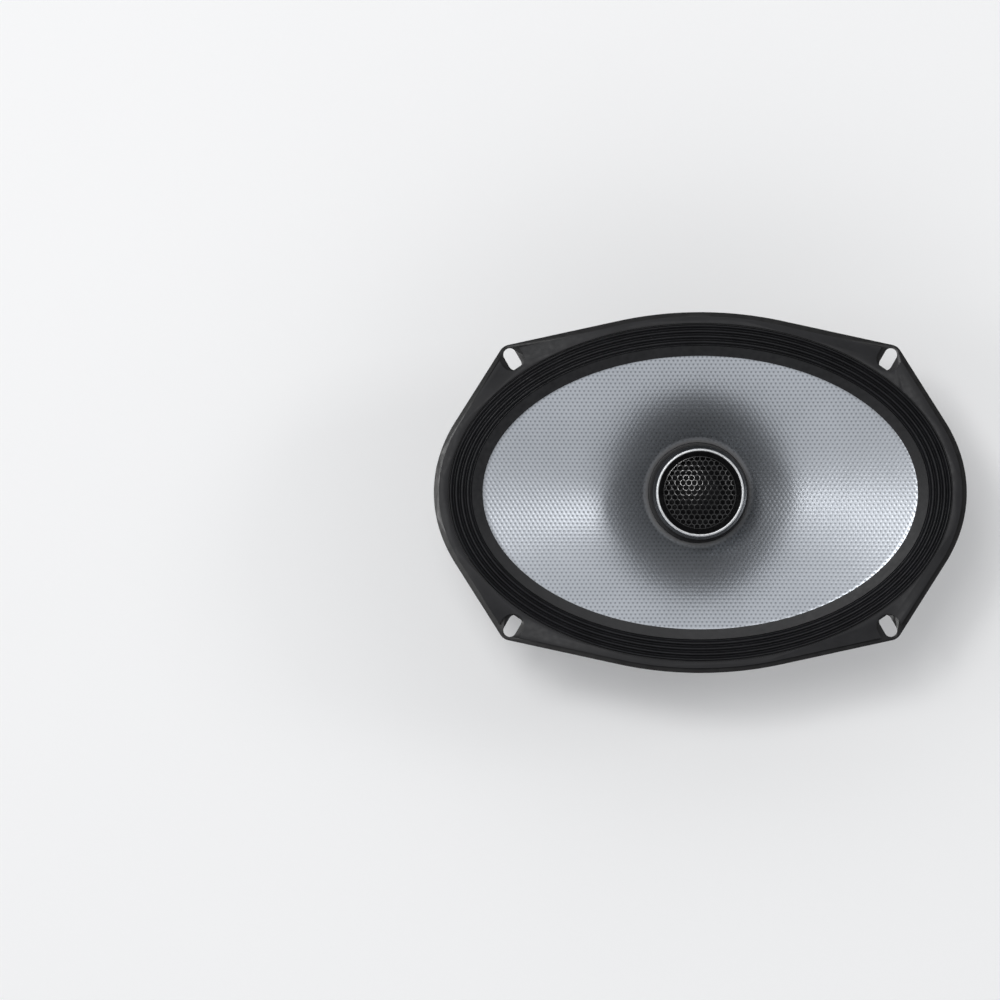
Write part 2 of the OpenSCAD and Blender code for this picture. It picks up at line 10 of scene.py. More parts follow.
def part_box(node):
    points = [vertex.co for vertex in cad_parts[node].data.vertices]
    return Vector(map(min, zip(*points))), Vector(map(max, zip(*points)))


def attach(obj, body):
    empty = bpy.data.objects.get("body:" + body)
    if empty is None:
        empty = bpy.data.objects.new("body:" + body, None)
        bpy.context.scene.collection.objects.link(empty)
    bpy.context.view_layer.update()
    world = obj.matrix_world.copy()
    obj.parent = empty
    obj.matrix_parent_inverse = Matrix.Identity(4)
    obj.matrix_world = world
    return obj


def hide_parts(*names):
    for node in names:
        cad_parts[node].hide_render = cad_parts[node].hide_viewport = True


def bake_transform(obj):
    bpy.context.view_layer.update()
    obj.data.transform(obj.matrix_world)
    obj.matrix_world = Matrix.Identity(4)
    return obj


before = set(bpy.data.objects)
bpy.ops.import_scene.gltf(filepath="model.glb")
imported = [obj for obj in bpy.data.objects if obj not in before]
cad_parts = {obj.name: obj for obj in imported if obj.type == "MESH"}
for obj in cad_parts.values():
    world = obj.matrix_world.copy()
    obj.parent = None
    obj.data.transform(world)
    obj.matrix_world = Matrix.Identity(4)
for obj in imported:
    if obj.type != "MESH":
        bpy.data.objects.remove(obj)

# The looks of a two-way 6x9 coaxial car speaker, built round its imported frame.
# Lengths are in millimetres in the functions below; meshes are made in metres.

MM = 0.001
FINE = 192          # points round a lathed piece
OVAL_N = 288        # points round an oval piece
rng = np.random.default_rng(69)

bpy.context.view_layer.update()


def span(node):
    """Lowest and highest corner of a CAD node, in millimetres."""
    low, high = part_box(node)
    return low / MM, high / MM


# ---- Sizes, from the frame ----

flange_a, flange_b, face_z = span("basket")[1]
seat_z = span("basket")[0].z
flange_t = 2.4
skin_t = 1.8
gasket_a, gasket_b = 111.9, 75.1    # the gasket's oval mouth
slot_at = (83.3, 59.1)
slot_angle = radians(60)
slot_w, slot_l = 5.7, 10.4
corner_r = 5.5
shelf_z, shelf_t = 54.6, 1.4    # ledge between the bowl and the cup
end_x = 62                      # where the shelf ends and the bowl's open back begins
pad_z = 33                      # underside of the pad over the terminal board

cone_lip = 3.5
cone_t = 0.8
cone_a = span("cone")[1].x - cone_lip
cone_b = span("cone")[1].y - cone_lip
cone_edge_z = span("cone")[1].z
cone_neck_z = span("cone")[0].z + cone_t
cone_neck_r = 20
cone_flare = 0.82   # below 1, the cone opens like a horn

tweeter_z = span("tweeter_trim_ring")[1].z
grille_z = tweeter_z - 3.8
seam_z = tweeter_z - 8.5
housing_z = span("tweeter_housing")[0].z


# ---- Mesh helpers ----

def between(a, b, t):
    return a + (b - a) * t


def smoothstep(t):
    t = np.clip(t, 0, 1)
    return t * t * (3 - 2 * t)


def shade(obj, sharp=35):
    """Smooth shading, with the edges sharper than this angle kept crisp."""
    mesh = obj.data
    mesh.polygons.foreach_set("use_smooth", [True] * len(mesh.polygons))
    mesh.set_sharp_from_angle(angle=radians(sharp))
    return obj


def mesh_piece(name, points, faces, sharp=35):
    """A piece from points in millimetres, with doubles merged and faces turned outwards."""
    mesh = bpy.data.meshes.new(name)
    mesh.from_pydata((np.asarray(points, float) * MM).tolist(), [], faces)
    obj = bpy.data.objects.new(name, mesh)
    bpy.context.collection.objects.link(obj)
    work = bmesh.new()
    work.from_mesh(mesh)
    bmesh.ops.remove_doubles(work, verts=work.verts, dist=2e-6)
    bmesh.ops.dissolve_degenerate(work, edges=work.edges, dist=1e-7)
    bmesh.ops.recalc_face_normals(work, faces=work.faces)
    work.to_mesh(mesh)
    work.free()
    return shade(obj, sharp)


def skin(name, rings, loop=False, sharp=35):
    """Skin through rings of equal size; a loop also joins the last ring to the first."""
    rings = np.asarray(rings, float)
    m, n = rings.shape[:2]
    faces = []
    for k in range(m if loop else m - 1):
        low, high = k * n, ((k + 1) % m) * n
        faces += [(low + i, low + (i + 1) % n, high + (i + 1) % n, high + i) for i in range(n)]
    if not loop:
        faces += [tuple(range(n))[::-1], tuple(range((m - 1) * n, m * n))]
    return mesh_piece(name, rings.reshape(-1, 3), faces, sharp)


def oval(a, b, z=0.0, n=OVAL_N):
    t = np.linspace(0, tau, n, endpoint=False)
    return np.stack([a * np.cos(t), b * np.sin(t), np.full(n, float(z))], 1)


def lathe(name, profile, n=FINE, sharp=35):
    """A solid turned about Z from a closed outline of (radius, height)."""
    return skin(name, [oval(r, r, z, n) for r, z in profile], loop=True, sharp=sharp)


def soften(outline, radius, steps=3):
    """Rounds every corner of a closed outline."""
    outline = [np.asarray(p, float) for p in outline]
    points = []
    for k, p in enumerate(outline):
        a, b = outline[k - 1], outline[(k + 1) % len(outline)]
        if p[0] == 0:               # a corner on the axis of a lathed piece stays
            points.append(p)
            continue
        reach = min(radius, 0.45 * np.linalg.norm(a - p), 0.45 * np.linalg.norm(b - p))
        start = p + reach * (a - p) / np.linalg.norm(a - p)
        end = p + reach * (b - p) / np.linalg.norm(b - p)
        for t in np.linspace(0, 1, steps + 1):
            points.append((1 - t) ** 2 * start + 2 * t * (1 - t) * p + t * t * end)
    return points


def turned(name, profile, radius):
    """A lathed piece with rounded edges."""
    return lathe(name, soften(profile, radius))


def prism(name, outline, low, high, place=None):
    """A straight prism on a flat outline; place moves it from the XY plane."""
    outline = np.asarray(outline, float)[:, :2]
    rings = [np.column_stack([outline, np.full(len(outline), float(z))]) for z in (low, high)]
    obj = skin(name, rings)
    if place is not None:
        obj.data.transform(place)
        shade(obj)
    return obj


def move(x, y, z):
    """A shift in millimetres."""
    return Matrix.Translation(Vector((x, y, z)) * MM)


def turn(degrees, axis):
    return Matrix.Rotation(radians(degrees), 4, axis)


def circle(r, n=48, x=0.0, y=0.0):
    return [(x + r * cos(tau * k / n), y + r * sin(tau * k / n)) for k in range(n)]


def box_outline(x0, y0, x1, y1):
    return [(x0, y0), (x1, y0), (x1, y1), (x0, y1)]


def stadium(length, width, angle, x, y, n=24):
    """A slot's outline: two half circles joined by straight sides."""
    reach = (length - width) / 2
    points = []
    for k in range(2 * n + 2):
        side = 1 if k <= n else -1
        t = -pi / 2 + pi * (k if k <= n else k - 1) / n
        px = side * reach + width / 2 * cos(t)
        py = width / 2 * sin(t)
        points.append((x + px * cos(angle) - py * sin(angle),
                       y + px * sin(angle) + py * cos(angle)))
    return points


def settle(obj, sharp=35):
    """Applies the modifiers and shades the result."""
    graph = bpy.context.evaluated_depsgraph_get()
    mesh = bpy.data.meshes.new_from_object(obj.evaluated_get(graph))
    obj.modifiers.clear()
    obj.data = mesh
    return shade(obj, sharp)


def combine(obj, others, operation):
    """Adds or cuts the other solids, which are used up."""
    for other in others:
        step = obj.modifiers.new("solid", "BOOLEAN")
        step.object = other
        step.operation = operation
        step.solver = "MANIFOLD"
    settle(obj)
    for other in others:
        bpy.data.objects.remove(other)
    return obj


def cut(obj, *others):
    return combine(obj, others, "DIFFERENCE")


def weld(obj, *others):
    return combine(obj, others, "UNION")


def round_edges(obj, width, steps=2):
    """Rounds the edges sharper than 40 degrees."""
    step = obj.modifiers.new("round", "BEVEL")
    step.width = width * MM
    step.segments = steps
    step.limit_method = "ANGLE"
    step.angle_limit = radians(40)
    step.harden_normals = True
    return settle(obj, 50)


def join(obj, *others):
    """Puts the meshes of several pieces into the first."""
    work = bmesh.new()
    for part in (obj, *others):
        work.from_mesh(part.data)
    work.to_mesh(obj.data)
    work.free()
    for other in others:
        bpy.data.objects.remove(other)
    return obj


def smooth_route(points, steps):
    """A smooth curve through the points, with steps points for each stretch."""
    p = np.asarray(points, float)
    route = []
    for i in range(len(p) - 1):
        a, b, c, d = p[max(i - 1, 0)], p[i], p[i + 1], p[min(i + 2, len(p) - 1)]
        for t in np.arange(steps) / steps:
            route.append(0.5 * (2 * b + (c - a) * t + (2 * a - 5 * b + 4 * c - d) * t ** 2
                                + (3 * b - a - 3 * c + d) * t ** 3))
    return np.array(route + [p[-1]])


def route_frames(route):
    """Two side directions along a route, carried without twist."""
    ahead = np.gradient(route, axis=0)
    ahead /= np.linalg.norm(ahead, axis=1)[:, None]
    side = np.zeros_like(ahead)
    last = np.array([0.37, 0.82, 0.44])
    for k, t in enumerate(ahead):
        last = last - t * (last @ t)
        last /= np.linalg.norm(last)
        side[k] = last
    return side, np.cross(ahead, side)


def tube(name, route, r, n=14, strands=1, pitch=2.0):
    """A round wire along a route, or several strands twisted round it."""
    side, up = route_frames(route)
    run = np.concatenate([[0], np.cumsum(np.linalg.norm(np.diff(route, axis=0), axis=1))])
    spread = 0 if strands == 1 else 0.52 * r
    strand_r = r if strands == 1 else 0.5 * r
    parts = []
    for s in range(strands):
        turn_at = tau * (s / strands + run / pitch)
        middle = route + spread * (np.cos(turn_at)[:, None] * side + np.sin(turn_at)[:, None] * up)
        rings = [middle + strand_r * (cos(tau * k / n) * side + sin(tau * k / n) * up)
                 for k in range(n)]
        rings = np.array(rings).transpose(1, 0, 2)
        parts.append(skin(f"{name}_{s}" if s else name, rings, sharp=60))
    return join(*parts)


# ---- Finishes ----

class Finish:
    """A node material on the principled shader, with helpers that add nodes."""

    def __init__(self, name, color, rough, metal=0.0, **shader):
        self.material = bpy.data.materials.new(name)
        self.material.use_nodes = True
        self.material.diffuse_color = (*color, 1)
        self.tree = self.material.node_tree
        self.shader = self.tree.nodes["Principled BSDF"]
        self.name, self.color, self.rough = name, color, rough
        self.set("Base Color", (*color, 1))
        self.set("Roughness", rough)
        self.set("Metallic", metal)
        for key, value in shader.items():
            self.set(key.replace("_", " "), value)
        self.normal = None
        self.place = self.add("ShaderNodeTexCoord").outputs["Object"]

    def set(self, socket, value):
        self.plug(self.shader.inputs[socket], value)

    def plug(self, socket, value):
        if isinstance(value, bpy.types.NodeSocket):
            self.tree.links.new(value, socket)
        else:
            socket.default_value = value

    def add(self, kind, inputs=(), **settings):
        node = self.tree.nodes.new(kind)
        for key, value in settings.items():
            setattr(node, key, value)
        for key, value in dict(inputs).items():
            self.plug(node.inputs[key], value)
        return node

    def math(self, operation, a, b=0.0):
        return self.add("ShaderNodeMath", {0: a, 1: b}, operation=operation).outputs[0]

    def axes(self):
        return self.add("ShaderNodeSeparateXYZ", {0: self.place}).outputs

    def radius(self):
        """Distance from the speaker's axis."""
        x, y, _ = self.axes()
        squares = self.math("ADD", self.math("MULTIPLY", x, x), self.math("MULTIPLY", y, y))
        return self.math("SQRT", squares)

    def wave(self, value, pitch):
        """A sine along a value, with its pitch in millimetres."""
        return self.math("SINE", self.math("MULTIPLY", value, tau / (pitch * MM)))

    def noise(self, scale, detail):
        return self.add("ShaderNodeTexNoise", {
            "Vector": self.place, "Scale": scale, "Detail": detail, "Roughness": 0.55,
        }).outputs["Fac"]

    def ramp(self, value, low, high, to_low=0.0, to_high=1.0):
        return self.add("ShaderNodeMapRange", {
            "Value": value, "From Min": low, "From Max": high, "To Min": to_low, "To Max": to_high,
        }).outputs[0]

    def blend(self, share, a, b):
        node = self.add("ShaderNodeMix", data_type="RGBA")
        self.plug(node.inputs[0], share)
        for socket, value in ((node.inputs[6], a), (node.inputs[7], b)):
            self.plug(socket, value if isinstance(value, bpy.types.NodeSocket) else (*value, 1))
        return node.outputs[2]

    def bump(self, height, distance):
        """Adds a layer of relief, distance in millimetres."""
        node = self.add("ShaderNodeBump", {
            "Height": height, "Distance": distance * MM, "Strength": 1.0,
        })
        if self.normal is not None:
            self.plug(node.inputs["Normal"], self.normal)
        self.normal = node.outputs["Normal"]
        self.set("Normal", self.normal)

    def mottle(self, scale, amount, rough_amount=0.08):
        """Slow variation of the colour and the gloss."""
        share = self.ramp(self.noise(scale, 4.0), 0.3, 0.7)
        dark = [c * (1 - amount) for c in self.color]
        light = [min(1.0, c * (1 + amount)) for c in self.color]
        tint = self.blend(share, dark, light)
        self.set("Base Color", tint)
        fine = self.noise(scale * 5, 3.0)
        low, high = self.rough - rough_amount, self.rough + rough_amount
        self.set("Roughness", self.ramp(fine, 0.3, 0.7, low, high))
        return tint

    def wear(self, tint, color):
        """Rubbed edges: a second colour where the surface is sharply convex."""
        edge = self.add("ShaderNodeNewGeometry").outputs["Pointiness"]
        patches = self.ramp(self.noise(300, 4.0), 0.35, 0.65)
        rub = self.math("MULTIPLY", self.ramp(edge, 0.53, 0.6), patches)
        self.set("Base Color", self.blend(self.math("MULTIPLY", rub, 0.5), tint, color))


def painted(name, color, rough, orange_peel, coat=0.0, mottle=0.12, gloss=0.35):
    """Powder coat or moulded plastic with a fine, slightly uneven skin."""
    f = Finish(name, color, rough, Coat_Weight=coat, Coat_Roughness=0.12, Specular_IOR_Level=gloss)
    f.mottle(60, mottle)
    f.bump(f.noise(900, 3.0), orange_peel)
    f.bump(f.noise(3500, 2.0), orange_peel * 0.3)
    return f


def rubber(name, color, rough, grain=0.03):
    f = Finish(name, color, rough, Specular_IOR_Level=0.3)
    f.mottle(90, 0.2, 0.06)
    f.bump(f.noise(2200, 4.0), grain)
    f.bump(f.noise(260, 3.0), grain * 2)
    return f


def plated(name, color, rough, turned_step=0.0):
    """Plated metal; turned_step adds the lathe's fine rings."""
    f = Finish(name, color, rough, 1.0)
    tint = f.mottle(45, 0.14, 0.1)
    if turned_step:
        rings = f.wave(f.math("ADD", f.radius(), f.axes()["Z"]), turned_step)
        f.bump(f.math("MULTIPLY", rings, f.noise(120, 2.0)), 0.012)
    stain = f.ramp(f.noise(22, 5.0), 0.55, 0.75)
    tint = f.blend(f.math("MULTIPLY", stain, 0.35), tint, [c * 0.62 for c in color])
    f.set("Base Color", tint)
    f.bump(f.noise(1800, 3.0), 0.01)
    return f


def woven_cone():
    """Metallic woven skin: rows of small raised dots, with a dark pit in every other triangle; the
    dots' light tint is a painted highlight and the pits' dark tint is painted shade on the weave's
    relief.
    """
    metal = 0.86
    f = Finish("woven_cone", (0.36, 0.385, 0.42), 0.4, metal)
    x, y, _ = f.axes()
    pitch, row_pitch = 1.98 * MM, 1.68 * MM
    positive = 200      # whole pitches added, so that no coordinate is below zero
    squash = (row_pitch / pitch) ** 2

    def away(dx, dy):
        """Distance from the nearest dot of a staggered grid, in pitches."""
        row = f.math("ADD", f.math("DIVIDE", y, row_pitch), positive - dy)
        shift = f.math("MULTIPLY", f.math("MODULO", f.math("FLOOR", row), 2.0), 0.5)
        across = f.math("ADD", f.math("ADD", f.math("DIVIDE", x, pitch), positive - dx), shift)
        u = f.math("SUBTRACT", f.math("FRACT", across), 0.5)
        v = f.math("SUBTRACT", f.math("FRACT", row), 0.5)
        flat = f.math("MULTIPLY", f.math("MULTIPLY", v, v), squash)
        return f.math("SQRT", f.math("ADD", f.math("MULTIPLY", u, u), flat))

    dot_and_highlight = f.ramp(away(0, 0), 0.1, 0.42, 1, 0)
    pit_and_shade = f.ramp(away(0.5, 0.34), 0.08, 0.32, 1, 0)
    cloud = f.ramp(f.noise(38, 4.0), 0.3, 0.7)
    tint = f.blend(cloud, (0.49, 0.52, 0.56), (0.545, 0.575, 0.62))
    # painted shade in each pit and a painted highlight on each dot, over the weave's real relief
    tint = f.blend(f.math("MULTIPLY", pit_and_shade, 0.52), tint, (0.05, 0.052, 0.06))
    tint = f.blend(f.math("MULTIPLY", dot_and_highlight, 0.42), tint, (0.68, 0.7, 0.74))
    # the smooth collar round the neck carries no weave; its plain light grey, not metallic, is a
    # painted highlight ring round the tweeter's foot
    weave = f.ramp(f.radius(), 23.2 * MM, 25.2 * MM)
    f.set("Base Color", f.blend(weave, (0.25, 0.25, 0.255), tint))
    f.set("Metallic", f.math("MULTIPLY", weave, metal))
    f.set("Roughness", f.ramp(pit_and_shade, 0, 1, 0.37, 0.5))
    f.bump(f.math("MULTIPLY", f.math("SUBTRACT", dot_and_highlight, pit_and_shade), weave), 0.035)
    f.bump(f.noise(2600, 2.0), 0.012)
    return f


def spider_cloth():
    """Resin treated woven cloth."""
    f = Finish("spider_cloth", (0.30, 0.125, 0.045), 0.75, Sheen_Weight=0.3)
    tint = f.mottle(70, 0.25)
    x, y, _ = f.axes()
    weave = f.math("MULTIPLY", f.wave(x, 0.7), f.wave(y, 0.7))
    dark = f.blend(f.ramp(weave, -0.6, 0.6), (0.16, 0.06, 0.02), tint)
    f.set("Base Color", dark)
    f.bump(weave, 0.06)
    return f


def silk():
    f = Finish("dome_silk", (0.005, 0.005, 0.006), 0.55, Sheen_Weight=0.1, Specular_IOR_Level=0.15)
    f.mottle(160, 0.25)
    x, y, _ = f.axes()
    f.bump(f.math("MULTIPLY", f.wave(x, 0.4), f.wave(y, 0.4)), 0.02)
    return f


def ferrite():
    """Sintered ferrite: dark grey, ground faces and a slightly pitted rim."""
    f = Finish("ferrite", (0.14, 0.134, 0.139), 0.4, 0.3)
    tint = f.mottle(30, 0.2, 0.1)
    pits_and_shade = f.ramp(f.noise(1100, 5.0), 0.66, 0.74)
    # the pits are darkened: painted shade inside them
    tint = f.blend(f.math("MULTIPLY", pits_and_shade, 0.6), tint, (0.06, 0.058, 0.06))
    f.bump(f.math("SUBTRACT", 1.0, pits_and_shade), 0.03)
    f.bump(f.noise(2500, 2.0), 0.012)
    f.wear(tint, (0.2, 0.195, 0.19))
    return f


def copper():
    """Enamelled winding wire."""
    f = Finish("copper_wire", (0.72, 0.33, 0.16), 0.28, 1.0, Coat_Weight=0.6, Coat_Roughness=0.1)
    f.mottle(90, 0.2)
    f.bump(f.wave(f.axes()["Z"], 0.35), 0.03)
    return f


def wound_foil():
    """The capacitor's crinkled, sealed end: copper orange film, with painted shade darkening its
    folds.
    """
    f = Finish("wound_foil", (0.62, 0.24, 0.11), 0.3, 0.55, Coat_Weight=0.6, Coat_Roughness=0.15)
    cloud = f.noise(420, 6.0)
    # dark where the crinkles sink: painted shade in their hollows
    tint = f.blend(f.ramp(cloud, 0.36, 0.62), (0.16, 0.05, 0.025), (0.8, 0.4, 0.24))
    f.set("Base Color", tint)
    f.set("Roughness", f.ramp(f.noise(900, 3.0), 0.3, 0.7, 0.2, 0.45))
    f.bump(cloud, 0.5)
    return f


def braid():
    f = Finish("tinsel_braid", (0.6, 0.59, 0.55), 0.36, 1.0)
    f.mottle(500, 0.3)
    x, y, z = f.axes()
    one = f.wave(f.math("ADD", x, z), 0.35)
    two = f.wave(f.math("SUBTRACT", y, z), 0.35)
    f.bump(f.math("MULTIPLY", one, two), 0.05)
    return f


def glue_finish():
    f = Finish("glue", (0.62, 0.62, 0.58), 0.4, Subsurface_Weight=0.1, Coat_Weight=0.2)
    f.mottle(150, 0.12)
    f.bump(f.noise(900, 3.0), 0.08)
    return f


def silver():
    f = Finish("silver_trim", (0.62, 0.63, 0.64), 0.4, 1.0)
    f.mottle(80, 0.06, 0.05)
    f.bump(f.noise(1500, 2.0), 0.004)
    return f


finishes = {finish.name: finish for finish in [
    painted("basket_paint", (0.0105, 0.0102, 0.0106), 0.36, 0.012, coat=0.1, mottle=0.04),
    rubber("gasket_rubber", (0.014, 0.014, 0.0155), 0.5, 0.02),
    rubber("surround_rubber", (0.008, 0.0082, 0.0095), 0.36, 0.012),
    woven_cone(),
    rubber("neck_rubber", (0.014, 0.014, 0.015), 0.36),
    plated("former_foil", (0.62, 0.58, 0.45), 0.35),
    copper(),
    spider_cloth(),
    glue_finish(),
    plated("zinc_plate", (0.55, 0.57, 0.59), 0.3, 0.45),
    ferrite(),
    painted("black_plastic", (0.005, 0.005, 0.0054), 0.42, 0.015, mottle=0.03, gloss=0.16),
    painted("gloss_black", (0.003, 0.003, 0.0034), 0.3, 0.004, mottle=0.03, gloss=0.25),
    silver(),
    painted("grille_mesh", (0.016, 0.016, 0.0165), 0.22, 0.006, coat=1.0),
    silk(),
    plated("neodymium", (0.6, 0.61, 0.63), 0.2),
    plated("tinned_brass", (0.72, 0.69, 0.6), 0.3),
    painted("shrink_sleeve", (0.022, 0.02, 0.024), 0.36, 0.04),
    wound_foil(),
    rubber("wire_jacket", (0.016, 0.016, 0.017), 0.4, 0.02),
    braid(),
]}


# ---- Joining pieces to the frame ----

def dress(obj, slot):
    obj.data.materials.clear()
    obj.data.materials.append(finishes[slot].material)


def fixed(obj, slot, node, body="frame_body"):
    """A piece that stands for a CAD node and rides with one body."""
    dress(obj, slot)
    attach(obj, body)
    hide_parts(node)


def flexible(obj, slot, node, weights):
    """A soft piece for a CAD node; its weights, 0 at the frame and 1 at a moving body, are worked out
    but not used.
    """
    dress(obj, slot)
    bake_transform(obj)
    share = weights(points_of(obj)).astype(np.float32)
    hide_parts(node)


def points_of(obj):
    flat = np.zeros(3 * len(obj.data.vertices))
    obj.data.vertices.foreach_get("co", flat)
    return flat.reshape(-1, 3) / MM


def keep(node, slot):
    """A CAD node whose shape is right keeps it, with a full finish."""
    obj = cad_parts[node]
    for entry in obj.material_slots:
        entry.material = finishes[slot].material


# ---- Camera, light and floor ----

# Place in metres, side in metres and power in watts of each softbox
SOFTBOXES = [
    ((-1.8, 0.12, 1.45), 0.55, 3.2),
    ((1.81, 0.58, 1.45), 0.6, 5),
    ((-0.5, 0.62, 2.9), 0.9, 18),
    ((-0.45, 0.43, 1.6), 0.28, 3.5),
]


def studio():
    camera = bpy.data.objects.new("camera", bpy.data.cameras.new("camera"))
    bpy.context.collection.objects.link(camera)
    distance = 2900
    view_width = 443.3
    camera.data.lens = camera.data.sensor_width * distance / view_width
    camera.data.clip_end = 20
    camera.location = Vector((-88.8, -3.3, face_z + distance)) * MM
    bpy.context.scene.camera = camera

    floor = bpy.data.objects.new("floor", bpy.data.meshes.new("floor"))
    corners = [(x, y, 0) for x, y in box_outline(-4, -4, 4, 4)]
    floor.data.from_pydata(corners, [], [(0, 1, 2, 3)])
    bpy.context.collection.objects.link(floor)
    f = Finish("floor", (0.97, 0.97, 0.97), 0.7)
    f.mottle(3, 0.006, 0.03)
    f.bump(f.noise(400, 2.0), 0.02)
    floor.data.materials.append(f.material)

    bpy.context.scene.view_settings.view_transform = "Standard"
    world = bpy.data.worlds.new("studio")
    bpy.context.scene.world = world
    world.use_nodes = True
    # a light tent: bright towards the horizon and dark overhead
    tree = world.node_tree
    direction = tree.nodes.new("ShaderNodeTexCoord")
    split = tree.nodes.new("ShaderNodeSeparateXYZ")
    fade = tree.nodes.new("ShaderNodeMapRange")
    fade.interpolation_type = "SMOOTHSTEP"
    limits = {"From Min": 0.68, "From Max": 0.94, "To Min": 0.76, "To Max": 0.13}
    for socket, value in limits.items():
        fade.inputs[socket].default_value = value
    tree.links.new(direction.outputs["Generated"], split.inputs[0])
    tree.links.new(split.outputs["Z"], fade.inputs["Value"])
    tree.links.new(fade.outputs[0], tree.nodes["Background"].inputs["Strength"])
    tree.nodes["Background"].inputs["Color"].default_value = (0.97, 0.98, 1, 1)

    target = Vector((0, 0, 0.05))
    for k, (place, size, power) in enumerate(SOFTBOXES):
        lamp = bpy.data.objects.new(f"softbox_{k}", bpy.data.lights.new(f"softbox_{k}", "AREA"))
        lamp.data.shape = "SQUARE"
        lamp.data.size = size
        lamp.data.energy = power
        lamp.location = place
        lamp.rotation_euler = (target - Vector(place)).to_track_quat("-Z", "Y").to_euler()
        bpy.context.collection.objects.link(lamp)


# ---- Basket ----

def flange_outline(inset=0.0):
    """The oval with its four rounded corners, as one tight outline."""
    points = [tuple(p[:2]) for p in oval(flange_a - inset, flange_b - inset)]
    for sx in (-1, 1):
        for sy in (-1, 1):
            points += circle(corner_r - inset, 64, sx * (slot_at[0] + 0.7), sy * (slot_at[1] + 1))
    hull = convex_hull_2d([Vector(p) for p in points])
    return [points[k] for k in hull]


def at_corners(outline):
    """The outline repeated at the four corners of the flange."""
    for sx in (-1, 1):
        for sy in (-1, 1):
            points = [(sx * x, sy * y) for x, y in outline]
            yield points if sx * sy > 0 else points[::-1]


# The bowl's outside, as half length, half width and height from its back to the flange
BOWL = [
    [69, 47, 39.4], [75, 50, 42.3], [90.5, 55, 47.2], [100, 60, 55], [107, 67.5, 62],
    [110.8, 72.6, 68], [112.9, 75.9, 74.4],
]


def bowl():
    """Pressed bowl from the flange to the cup, open in the middle of its back."""
    line = smooth_route(BOWL, 5)
    outside = skin("bowl", [oval(a, b, z) for a, b, z in line])
    past_top = 4
    inside = skin("bowl_inside", [
        oval(a - skin_t, b - skin_t, z + (skin_t if k < len(line) - 1 else past_top))
        for k, (a, b, z) in enumerate(line)])
    top = span("cone")[0].z + 15.5
    opening = [(-54, 30), (54, 30), (end_x, 44), (end_x, top), (-end_x, top), (-end_x, 44)]
    middle = prism("bowl_middle", soften(opening, 3, 4), -100, 100, turn(90, "X"))
    return round_edges(cut(outside, inside, middle), 0.4)


def at_both_ends(name, outline, low, high):
    """The same prism at the right end and, turned round, at the left end."""
    right, left = (prism(name, outline, low, high) for _ in range(2))
    left.data.transform(turn(180, "Z"))
    return right, left


def cup():
    """Round cup that stands on the top plate, with its ten windows and two end gaps."""
    shell = lathe("cup", soften([
        (30, seat_z), (41, seat_z), (41.6, 27), (50.8, 38), (58.4, 54.35), (58.4, 56.2),
        (56.5, 56.2), (56.5, 54.6), (49, 40.2), (49, 38.2), (45, 38.2), (45, 36.6), (47, 36.6),
        (39.6, 26.6), (30, 26.6)], 0.9, 4))
    gap_z, gap_h = 41.4, 20
    gap = soften(box_outline(46, -30, 66, 30), 3, 5)
    cutters = [*at_both_ends("end_cut", gap, gap_z, gap_z + gap_h)]
    half_w, low, high, flat_top = 5.65, 39.3, 56, 54
    window = soften(box_outline(-half_w, low, half_w, high), 2.4, 6)
    window = [(x, min(z, flat_top)) for x, z in window]
    for angle in [90 + 30 * k + s for k in (-2, -1, 0, 1, 2) for s in (0, 180)]:
        stand = turn(angle, "Z") @ turn(90, "Z") @ turn(90, "X")
        cutters.append(prism("window", window, 46.5, 62, stand))
    return round_edges(cut(shell, *cutters), 0.35)


def shelf():
    """Flat ledge between the bowl and the round cup."""
    plate = prism("shelf", oval(99, 59), shelf_z, shelf_z + shelf_t)
    below, above = shelf_z - 4.6, shelf_z + 5.4
    hole = prism("hole", circle(57.5, FINE), below, above)
    gap = soften(box_outline(47, -30.5, 130, 30.5), 2)
    cutters = [hole, *at_both_ends("end", gap, below, above)]
    cutters += at_both_ends("far", box_outline(end_x, -70, 130, 70), below, above)
    return round_edges(cut(plate, *cutters), 0.3)


def leg(side):
    """Strap from the cup's foot up to the end of the bowl."""
    outline = [(39, 25), (41.5, 25), (70.5, 40.6), (69.5, 42.6), (52, 35.8), (42, 27.5)]
    outline = soften([(side * x, z) for x, z in outline], 1.2)
    half_w = 5
    return round_edges(prism("leg", outline, -half_w, half_w, turn(90, "X")), 0.4)


def basket():
    """Stamped frame: slotted flange, bowl, shelf, cup, two legs and the terminals' pad."""
    body = prism("basket_shell", flange_outline(), face_z - flange_t, face_z)
    below, above = face_z - 16, face_z + 14
    slot = stadium(slot_l, slot_w, slot_angle, *slot_at)
    cutters = [prism("slot", outline, below, above) for outline in at_corners(slot)]
    mouth = prism("mouth", oval(gasket_a - 0.2, gasket_b - 0.2), below, above)
    cut(body, mouth, *cutters)
    round_edges(body, 0.35, 3)
    pad = prism("pad", soften(box_outline(-70, -9.5, -50, 9.5), 1.5), pad_z, pad_z + 1.6)
    round_edges(pad, 0.3)
    near_leg = leg(-1)
    cut(near_leg, prism("board_room", box_outline(-68.05, -11, -56.45, 11), 10, pad_z))
    weld(body, bowl(), shelf(), cup(), near_leg, leg(1), pad)
    fixed(body, "basket_paint", "basket")


